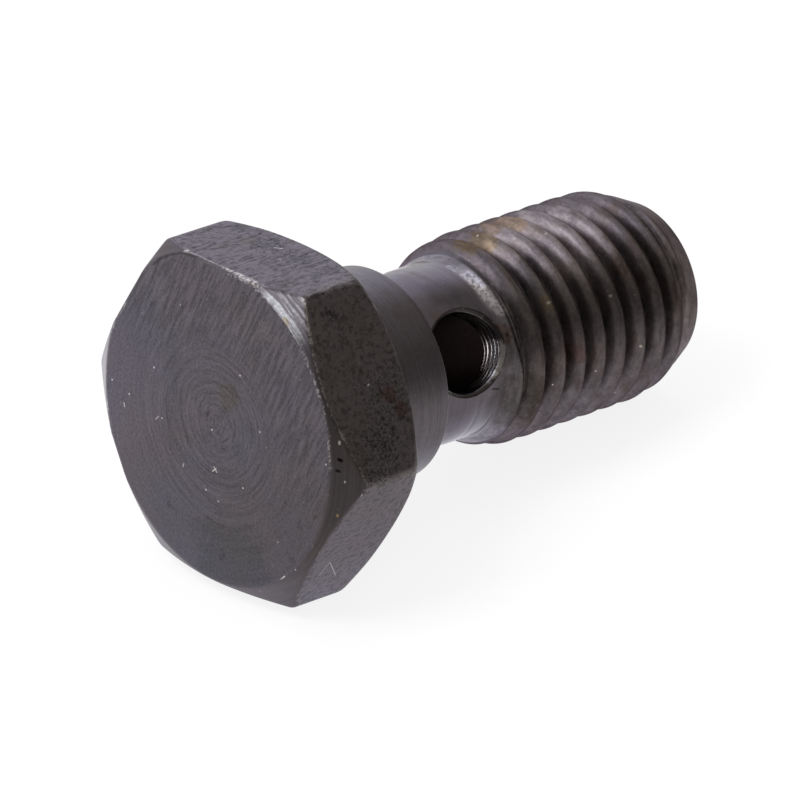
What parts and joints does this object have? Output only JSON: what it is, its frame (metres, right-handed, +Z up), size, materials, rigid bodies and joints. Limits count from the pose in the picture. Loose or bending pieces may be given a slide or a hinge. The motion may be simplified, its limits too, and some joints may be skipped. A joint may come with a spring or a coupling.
{
  "type": "banjo bolt",
  "caption": "Hexagon head banjo bolt with a collar, a cross-drilled neck, a hollow threaded shank and a chamfered tip, in dark oxide-finished steel.",
  "frame": {"origin": "on the surface it lies on, under the middle of the bolt", "axes": "+Z up, +X along the bolt from its head to the tip of its thread, dipping below level by about 8 degrees as the bolt lies, +Y to its left"},
  "size_m": [0.0326, 0.0206, 0.0186],
  "materials": {
    "steel": "dark oxide, satin"
  },
  "bodies": {
    "root": {"banjo_bolt": "steel"}
  },
  "joints": []
}
